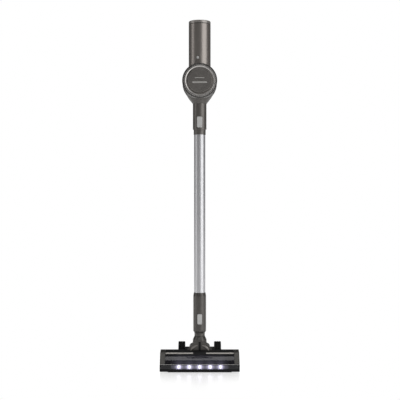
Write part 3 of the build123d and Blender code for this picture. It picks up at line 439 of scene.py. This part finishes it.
def make_looks():
    return {
        "titanium": surface("titanium_paint", TITANIUM, 0.36, metal=0.55, grain=3500.0, coat=0.2),
        # Painted shade: the same titanium paint darkened, for the neck, yoke and motor housing.
        "neck": surface("titanium_paint_shaded", SHADED_TITANIUM, 0.36, metal=0.55, grain=3500.0, coat=0.2),
        "face": rings("disc_paint", DISC_PAINT, 0.42, (0.0, DISC_Z), 0.55 * MM, 0.02 * MM, metal=0.5),
        "grille": perforated("perforated_rim", (0.27, 0.26, 0.25), 0.5, 2.4 * MM, 0.2, metal=0.3),
        # Painted shade: the dark bead round the disc stands in for the shadow gap round its rim.
        "rim_shade": surface("rim_shade_bead", (0.075, 0.071, 0.067), 0.5, metal=0.2, grain=2200.0, depth=0.1),
        "head": surface("head_paint", (0.040, 0.037, 0.032), 0.36, metal=0.4, grain=3000.0, coat=0.2),
        "cover": surface("head_cover_black", (0.014, 0.014, 0.015), 0.6, grain=2400.0, specular=0.2),
        "band": surface("gloss_black", (0.004, 0.004, 0.005), 0.28, grain=900.0, depth=0.01,
                        specular=0.14, rough_spread=0.03),
        "black": surface("black_plastic", (0.013, 0.013, 0.013), 0.55, grain=1500.0, depth=0.12,
                         specular=0.3),
        "handle": ridged("handle_plastic", (0.035, 0.034, 0.033), 0.45, "Z", 4.0 * MM, 0.5 * MM,
                         inside=("Y", GRIP_BACK - 9.0 * MM, GRIP_BACK + MM), grain=1700.0, depth=0.12),
        "battery": ridged("battery_plastic", (0.035, 0.034, 0.033), 0.45, "Z", 3.2 * MM, 0.35 * MM,
                          inside=("Z", BATTERY_LOW + 12.0 * MM, BATTERY_LOW + 34.0 * MM), grain=1700.0,
                          depth=0.12),
        "wand_end": surface("wand_end_plastic", (0.03, 0.03, 0.03), 0.45, grain=1700.0, depth=0.1),
        "silver": surface("satin_silver", (0.32, 0.305, 0.285), 0.36, metal=0.6, grain=2600.0),
        "arc": surface("shoulder_paint", (0.32, 0.30, 0.28), 0.36, metal=0.5, grain=3000.0),
        # A pale strip material that paints the highlight on the front band's top edge.
        "line": surface("painted_highlight_silver", (0.62, 0.61, 0.60), 0.4, metal=0.4, grain=3000.0),
        "indicator": surface("indicator_lens", (0.5, 0.55, 0.5), 0.2, grain=900.0, depth=0.01,
                             coat=0.5),
        "emblem": surface("emblem_silver", (0.42, 0.41, 0.39), 0.4, metal=0.15, grain=2600.0),
        "accent": rings("accent_metal", (0.56, 0.54, 0.52), 0.3, (0.0, DISC_Z), 0.5 * MM, 0.004 * MM,
                        metal=0.85),
        "lid": surface("lid_metal", (0.34, 0.32, 0.30), 0.36, metal=0.7, grain=2600.0, coat=0.2),
        "button": surface("button_silver", (0.60, 0.60, 0.59), 0.4, metal=0.3, grain=2600.0),
        "aluminium": surface("anodised_tube", (0.58, 0.58, 0.595), 0.36, metal=0.85, spread=0.04,
                             grain=900.0, stretch=(1.0, 1.0, 0.02), depth=0.02),
        "motor": surface("motor_metal", (0.5, 0.5, 0.52), 0.3, metal=1.0, stretch=(1.0, 8.0, 1.0),
                         grain=300.0),
        "steel": surface("ground_steel", (0.45, 0.45, 0.46), 0.28, metal=1.0, grain=1200.0,
                         stretch=(0.1, 1.0, 1.0)),
        "bronze": surface("sintered_bronze", (0.42, 0.27, 0.12), 0.45, metal=1.0, grain=4000.0,
                          depth=0.1),
        "rubber": surface("rubber", (0.010, 0.010, 0.010), 0.65, grain=2200.0, depth=0.2,
                          specular=0.22),
        "felt": surface("felt", (0.03, 0.03, 0.032), 0.95, grain=2600.0, depth=0.8, spread=0.35,
                        specular=0.1),
        "pile": surface("brush_pile", (0.007, 0.007, 0.008), 0.85, grain=1200.0, depth=0.6, spread=0.3,
                        specular=0.1),
        "bristle": surface("bristle_nylon", (0.014, 0.014, 0.016), 0.55, grain=900.0, spread=0.25,
                           specular=0.2),
        "filter": ridged("filter_media", (0.75, 0.74, 0.7), 0.9, "X", 2.4 * MM, 0.4 * MM, grain=2600.0,
                         depth=0.4, specular=0.15),
        "mesh": perforated("steel_mesh", (0.3, 0.3, 0.31), 0.35, 1.6 * MM, 0.3, metal=1.0),
        "wrap": surface("cell_wrap", (0.03, 0.16, 0.28), 0.3, grain=300.0, depth=0.05, coat=0.5),
        "board": surface("board_lacquer", (0.01, 0.07, 0.03), 0.35, grain=700.0, depth=0.1, coat=0.4),
        "copper": surface("copper", (0.7, 0.35, 0.17), 0.3, metal=1.0, grain=900.0),
        "display": surface("display_gloss", (0.008, 0.008, 0.01), 0.08, grain=200.0, depth=0.005,
                           coat=1.0),
        "fan": surface("fan_plastic", (0.04, 0.04, 0.045), 0.4, grain=900.0),
        # The window's emission is a painted violet glow of the lamps in the smoked plastic.
        "window": smoked("smoked_window", (0.05, 0.047, 0.062), through=0.8, glow=(0.013, 0.11)),
        # The lens's emission paints a halo, rays and a haze round each lamp.
        "lens": smoked("lamp_lens", (0.02, 0.02, 0.026), through=0.7, glow=(0.0018, 7.0), rays=5.0,
                       haze=0.38),
        "cup": surface("dust_cup_smoked_metal", (0.30, 0.275, 0.255), 0.33, metal=0.85, spread=0.04,
                       grain=1600.0, depth=0.02, stretch=(1.0, 1.0, 0.2)),
    }


def lamp_material():
    mat, tree, shader = shader_of("lamp_white")
    phosphor = object_noise(tree, 500.0, 2.0)
    level = add(tree, "ShaderNodeMapRange", To_Min=26.0, To_Max=34.0)
    tree.links.new(phosphor, level.inputs["Value"])
    tree.links.new(level.outputs["Result"], shader.inputs["Emission Strength"])
    shader.inputs["Base Color"].default_value = (0.9, 0.9, 0.85, 1.0)
    shader.inputs["Emission Color"].default_value = (0.86, 0.88, 1.0, 1.0)
    return mat


NODE_LOOKS = {
    "titanium": ["inlet_socket"],
    "neck": ["neck_shell", "tilt_yoke", "motor_housing"],
    "face": ["front_cover"],
    "grille": ["exhaust_grille"],
    "head": ["end_caps"],
    "cover": ["head_cover"],
    "band": ["front_band"],
    "black": ["sole_plate", "head_frame", "wheel_arms", "wheel_hub_left", "wheel_hub_right",
              "dirty_air_duct", "motor_carrier", "battery_dock"],
    "handle": ["handle_shell_left", "handle_shell_right"],
    "battery": ["battery_case"],
    "wand_end": ["wand_ends"],
    "silver": ["trim_strips"],
    "emblem": ["emblem_bars"],
    "accent": ["accent_ring"],
    "lid": ["dust_lid", "lid_clasp"],
    "button": ["lower_button", "upper_button", "trigger", "mode_button", "cup_button", "battery_latch"],
    "aluminium": ["wand_tube"],
    "motor": ["motor_can"],
    "steel": ["head_screws", "brush_motor", "pivot_pins", "lid_hinge_pin"],
    "bronze": ["roller_bearings", "motor_pulley"],
    "rubber": ["drive_belt", "wheel_tyre_left", "wheel_tyre_right", "motor_mounts", "lid_seal"],
    "felt": ["felt_lips"],
    "pile": ["roller_brush"],
    "filter": ["exhaust_filter", "pleated_filter"],
    "mesh": ["mesh_shroud"],
    "wrap": ["battery_cells"],
    "board": ["control_board"],
    "copper": ["wand_wiring"],
    "display": ["display_panel"],
    "fan": ["roller_core", "impeller"],
    "window": ["roller_window"],
    "lens": ["lamp_lens"],
    "cup": ["dust_cup"],
}


def dress(obj, mat):
    obj.data.materials.clear()
    obj.data.materials.append(mat)


def dress_nodes(looks):
    for look, names in NODE_LOOKS.items():
        for name in names:
            dress(node[name], looks[look])
    dress(node["lamps"], lamp_material())


# ------------------------------------------------------------------ pieces made here

def body_of(name):
    """The CAD body that a node rides on."""
    bodies = frame["record"]["behaviour"]["bodies"]
    return next(body for body, members in bodies.items() if name in members)


def piece(name, verts, faces, mat, like, replaces=False, smooth=True):
    """A mesh object that rides with CAD node `like`, and stands for it where replaces is true."""
    data = bpy.data.meshes.new(name)
    data.from_pydata([tuple(v) for v in verts], [], faces)
    data.validate()
    obj = bpy.data.objects.new(name, data)
    bpy.context.scene.collection.objects.link(obj)
    data.materials.append(mat)
    for face in data.polygons:
        face.use_smooth = smooth
    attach(obj, body_of(like))
    if replaces:
        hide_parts(like)
    return obj


def turned(profile, centre, axis, steps, reach=None):
    """Points and faces of a closed profile, (radius, place along the axis), turned about the axis.

    reach(angle, radius, along) may return a changed radius."""
    verts, faces = [], []
    count = len(profile)
    for step in range(steps):
        angle = 2.0 * math.pi * step / steps
        for radius, along in profile:
            r = reach(angle, radius, along) if reach else radius
            one, two = r * math.cos(angle), r * math.sin(angle)
            if axis == "Y":
                verts.append((centre[0] + one, along, centre[2] + two))
            else:
                verts.append((along, centre[1] + one, centre[2] + two))
    for step in range(steps):
        after = (step + 1) % steps
        for k in range(count):
            k2 = (k + 1) % count
            faces.append((step * count + k, step * count + k2, after * count + k2, after * count + k))
    return verts, faces


def swept(path, rings_at, sides=10):
    """Points and faces of a closed tube along a path; rings_at(k) gives its two half widths there."""
    verts, faces = [], []
    for k, point in enumerate(path):
        ahead = path[min(k + 1, len(path) - 1)] - path[max(k - 1, 0)]
        ahead.normalize()
        side = ahead.cross(Vector((0.0, 1.0, 0.0))).normalized()
        out = side.cross(ahead).normalized()
        wide, deep = rings_at(k)
        for turn in range(sides):
            angle = 2.0 * math.pi * turn / sides
            verts.append(point + side * (wide * math.cos(angle)) + out * (deep * math.sin(angle)))
    for k in range(len(path) - 1):
        for turn in range(sides):
            after = (turn + 1) % sides
            here, there = k * sides, (k + 1) * sides
            faces.append((here + turn, here + after, there + after, there + turn))
    faces.append(tuple(range(sides))[::-1])
    faces.append(tuple(range((len(path) - 1) * sides, len(path) * sides)))
    return verts, faces


def bevelled_bar(low, high, edge):
    """Points and faces of a box between two corners with its edges rounded."""
    made = bmesh.new()
    bmesh.ops.create_cube(made, size=1.0)
    for vert in made.verts:
        for axis in range(3):
            vert.co[axis] = low[axis] if vert.co[axis] < 0.0 else high[axis]
    bmesh.ops.bevel(made, geom=made.edges[:], offset=edge, segments=3, affect="EDGES", profile=0.5)
    made.verts.index_update()
    verts = [vert.co.copy() for vert in made.verts]
    faces = [[vert.index for vert in face.verts] for face in made.faces]
    made.free()
    return verts, faces


def join(parts):
    """One list of points and faces from several."""
    verts, faces = [], []
    for more_verts, more_faces in parts:
        base = len(verts)
        verts.extend(more_verts)
        faces.extend([tuple(base + index for index in face) for face in more_faces])
    return verts, faces


def hair(root, tip, width):
    """A four-sided spike from root to tip."""
    ahead = (tip - root).normalized()
    side = ahead.orthogonal().normalized()
    other = ahead.cross(side)
    verts = [root + side * width, root + other * width, root - side * width, root - other * width, tip]
    return verts, [(0, 1, 4), (1, 2, 4), (2, 3, 4), (3, 0, 4)]


def on_ring(centre, x, radius, angle):
    """A point at x on a circle about an axis along X through centre."""
    return Vector((x, centre.y + radius * math.cos(angle), centre.z + radius * math.sin(angle)))


def accent_dish(looks):
    """The bright ring round the disc: a shallow cone that faces inward, with rounded lips."""
    low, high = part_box("accent_ring")
    outer = (high[0] - low[0]) / 2
    inner = (FACE_HIGH[0] - FACE_LOW[0]) / 2 - 5.3 * MM
    front, back = low[1], high[1]
    profile = [
        (outer, back), (outer, front + 0.8 * MM), (outer - 0.2 * MM, front + 0.2 * MM),
        (outer - 0.6 * MM, front), (outer - 1.0 * MM, front + 0.1 * MM),
        (inner + 0.7 * MM, front + 2.5 * MM), (inner + 0.2 * MM, front + 2.9 * MM), (inner, back),
    ]
    verts, faces = turned(profile, (0.0, 0.0, DISC_Z), "Y", 160)
    piece("accent_dish", verts, faces, looks["accent"], "accent_ring", replaces=True)


def rim_shade_bead(looks):
    """Dark bead round the outside of the disc's rim: painted shade, a dark ring put where the gap between
    the disc and the cup, and the disc's underside, lie in shadow.
    """
    low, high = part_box("exhaust_grille")
    outer = (high[0] - low[0]) / 2
    front = low[1]
    profile = [
        (outer - 1.7 * MM, front + 1.6 * MM), (outer - 1.3 * MM, front + 0.8 * MM),
        (outer - 0.7 * MM, front + 0.6 * MM), (outer - 0.1 * MM, front + 1.2 * MM),
        (outer, front + 2.4 * MM), (outer, front + 7.0 * MM), (outer - 2.0 * MM, front + 7.0 * MM),
    ]
    verts, faces = turned(profile, (0.0, 0.0, DISC_Z), "Y", 128)
    piece("rim_shade_bead", verts, faces, looks["rim_shade"], "exhaust_grille")


def tyre(side, looks):
    """A tyre with two round channels and slanted sipes cut across its tread."""
    name = "wheel_tyre_" + side
    low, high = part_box(name)
    outer = (high[2] - low[2]) / 2
    centre = (0.0, (low[1] + high[1]) / 2, (low[2] + high[2]) / 2)
    width = high[0] - low[0]
    inner = outer - 5.0 * MM
    edge = 1.6 * MM
    channel = 1.1 * MM
    half = [0.0, 0.04, 0.075, 0.12, 0.30, 0.32, 0.37, 0.39]
    across = half + [1.0 - place for place in reversed(half)]
    drop = [edge, edge * 0.5, edge * 0.15, 0.0, 0.0, channel, channel, 0.0]
    drop += drop[::-1]
    profile = [(outer - sink, low[0] + width * place) for place, sink in zip(across, drop)]
    profile += [(inner, high[0]), (inner, low[0])]
    sipes = 36

    def reach(angle, radius, along):
        if radius < inner + MM:
            return radius
        slant = (along - low[0]) / width * 0.5
        wave = (angle * sipes / (2.0 * math.pi) + slant) % 1.0
        place = abs((along - low[0]) / width - 0.5)
        return radius - (0.8 * MM if wave < 0.25 and place > 0.13 else 0.0)

    verts, faces = turned(profile, centre, "X", 288, reach)
    piece("tyre_" + side, verts, faces, looks["rubber"], name, replaces=True,
          smooth=False)


def hub_spokes(side, looks):
    """Seven raised spokes in the hub's outer dish."""
    name = "wheel_hub_" + side
    low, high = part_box(name)
    centre = Vector((0.0, (low[1] + high[1]) / 2, (low[2] + high[2]) / 2))
    outside = low[0] if side == "left" else high[0]
    inward = 1.0 if side == "left" else -1.0
    near, far = sorted((outside + inward * 0.8 * MM, outside + inward * 3.6 * MM))
    parts = []
    for spoke in range(7):
        verts, faces = bevelled_bar((near, 8.0 * MM, -1.6 * MM), (far, 26.8 * MM, 1.6 * MM), 0.5 * MM)
        turn = Matrix.Rotation(2.0 * math.pi * spoke / 7, 4, "X")
        parts.append(([centre + turn @ vert for vert in verts], faces))
    verts, faces = join(parts)
    piece("hub_spokes_" + side, verts, faces, looks["black"], name, smooth=False)


def brush(looks):
    """Soft pile roller with four helical rows of stiffer bristle tufts."""
    low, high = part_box("roller_brush")
    centre = Vector((0.0, (low[1] + high[1]) / 2, (low[2] + high[2]) / 2))
    outer = (high[2] - low[2]) / 2
    core = outer - 7.5 * MM
    rng = random.Random(11)
    length = high[0] - low[0]
    parts = []
    tufts = 64
    for row in range(BRUSH_ROWS):
        for tuft in range(tufts):
            share = (tuft + 0.5) / tufts
            turn = 2.0 * math.pi * row / BRUSH_ROWS + share * BRUSH_TWIST
            for _ in range(9):
                angle = turn + rng.uniform(-0.07, 0.07)
                x = low[0] + share * length + rng.uniform(-1.2, 1.2) * MM
                lean = angle + rng.uniform(-0.06, 0.06)
                x_tip = min(max(x + rng.uniform(-1.0, 1.0) * MM, low[0]), high[0])
                tall = outer - rng.uniform(0.0, 1.2) * MM
                root = on_ring(centre, x, core, angle)
                tip = on_ring(centre, x_tip, tall, lean)
                parts.append(hair(root, tip, 0.28 * MM))
    verts, faces = join(parts)
    piece("brush_tufts", verts, faces, looks["bristle"], "roller_brush", smooth=False)
    steps, ribs = 120, 96
    verts, faces = [], []
    for rib in range(ribs + 1):
        x = low[0] + length * rib / ribs
        for step in range(steps):
            angle = 2.0 * math.pi * step / steps
            helix = math.cos(BRUSH_ROWS * (angle - rib / ribs * BRUSH_TWIST))
            nap = core + 4.4 * MM - 1.4 * MM * helix + rng.uniform(-0.35, 0.35) * MM
            verts.append(on_ring(centre, x, nap, angle))
    for rib in range(ribs):
        for step in range(steps):
            after = (step + 1) % steps
            here, there = rib * steps, (rib + 1) * steps
            faces.append((here + step, here + after, there + after, there + step))
    faces.append(tuple(range(steps))[::-1])
    faces.append(tuple(range(ribs * steps, (ribs + 1) * steps)))
    piece("brush_pile", verts, faces, looks["pile"], "roller_brush", replaces=True)


def felt_fringe(looks):
    """Short fibres standing out of the felt lips under the head."""
    rng = random.Random(5)
    low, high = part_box("felt_lips")
    lip = 3.0 * MM
    parts = []
    for y in (low[1] + lip / 2, high[1] - lip / 2):
        for _ in range(900):
            x = rng.uniform(low[0], high[0])
            root = Vector((x, y + rng.uniform(-0.5, 0.5) * lip, 2.4 * MM))
            lean = Vector((rng.uniform(-0.8, 0.8), rng.uniform(-1.2, 1.2), rng.uniform(-2.3, -1.4)))
            tip = root + lean * MM
            tip.y = min(max(tip.y, low[1]), high[1])
            parts.append(hair(root, tip, 0.12 * MM))
    verts, faces = join(parts)
    piece("felt_fringe", verts, faces, looks["felt"], "felt_lips", smooth=False)


def painted_band_highlight(looks):
    """Thin pale strip where the front band meets the window: a painted highlight of the lit top edge of
    the band.
    """
    low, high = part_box("front_band")
    verts, faces = bevelled_bar((low[0] + 1.5 * MM, LENS_FRONT + 0.7 * MM, high[2] - 1.1 * MM),
                                (high[0] - 1.5 * MM, LENS_FRONT + 2.4 * MM, high[2] - 0.2 * MM), 0.25 * MM)
    piece("painted_band_highlight", verts, faces, looks["line"], "front_band", smooth=False)


def trim_bars(looks):
    """Each trim seat holds a bright bar above and a black filler below it."""
    low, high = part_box("trim_strips")
    thick = 1.3 * MM
    top = Vector((low[1] + 6.4 * MM, high[2]))
    foot = Vector((low[1], low[2] + 1.0 * MM))
    slope = (foot - top).normalized()
    inward = Vector((-slope.y, slope.x))
    for name, start, stop, look, slot in (("trim_bars", 0.0, 0.62, "silver", "silver_trim"),
                                          ("trim_fillers", 0.63, 1.0, "cover", "black_plastic")):
        first, last = top.lerp(foot, start), top.lerp(foot, stop)
        section = [first, last, last + inward * thick, first + inward * thick]
        parts = []
        for side in (-1.0, 1.0):
            ends = sorted((side * 20.5 * MM, side * high[0]))
            verts = [Vector((x, point.x, point.y)) for x in ends for point in section]
            faces = [(0, 1, 2, 3), (7, 6, 5, 4)]
            faces += [(k, (k + 1) % 4, (k + 1) % 4 + 4, k + 4) for k in range(4)]
            parts.append((verts, faces))
        verts, faces = join(parts)
        piece(name, verts, faces, looks[look], "trim_strips", replaces=True, smooth=False)


def yoke_details(looks):
    """A dark strip down the middle of the yoke, painted shade where its front lies in shadow, and two
    raised arcs over its shoulders.
    """
    front = AXIS_Y - 18.0 * MM
    foot, top, half = 56.0 * MM, 86.0 * MM, 3.1 * MM
    low, high = (-half, front - 0.9 * MM, foot), (half, front + 1.4 * MM, top)
    verts, faces = bevelled_bar(low, high, 0.8 * MM)
    piece("yoke_shade_strip", verts, faces, looks["rubber"], "tilt_yoke", smooth=False)
    points = 15

    def arc_width(k):
        """Widest in the middle of the arc, nearly closed at its ends."""
        return 3.2 * MM * math.sin(math.pi * (k + 1.2) / (points + 1.4)), 1.4 * MM

    parts = []
    for side in (-1.0, 1.0):
        path = []
        for step in range(points):
            turn = math.radians(12.0 + 72.0 * step / (points - 1))
            out, up = 5.0 + 24.5 * math.cos(turn), 52.0 + 22.5 * math.sin(turn)
            path.append(Vector((side * out * MM, front - 0.2 * MM, up * MM)))
        parts.append(swept(path, arc_width))
    verts, faces = join(parts)
    piece("yoke_arcs", verts, faces, looks["arc"], "tilt_yoke")


def charge_lights(looks):
    """Four small charge lights down the battery's right side."""
    low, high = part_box("battery_case")
    middle = 0.0001 * MM
    parts = []
    for step in range(4):
        z = high[2] - (14.0 + 6.0 * step) * MM
        dot = [(middle, high[0] - 0.15 * MM), (1.1 * MM, high[0] - 0.2 * MM),
               (1.3 * MM, high[0] - 0.6 * MM), (middle, high[0] - 0.6 * MM)]
        parts.append(turned(dot, (0.0, (low[1] + high[1]) / 2, z), "X", 20))
    verts, faces = join(parts)
    piece("charge_lights", verts, faces, looks["indicator"], "battery_case")


def make_pieces(looks):
    accent_dish(looks)
    rim_shade_bead(looks)
    for side in ("left", "right"):
        tyre(side, looks)
        hub_spokes(side, looks)
    brush(looks)
    felt_fringe(looks)
    painted_band_highlight(looks)
    trim_bars(looks)
    yoke_details(looks)
    charge_lights(looks)


set_camera()
studio_floor = set_floor()
set_world()
set_lights(studio_floor)
looks = make_looks()
dress_nodes(looks)
make_pieces(looks)
bpy.context.scene.view_settings.view_transform = "Standard"
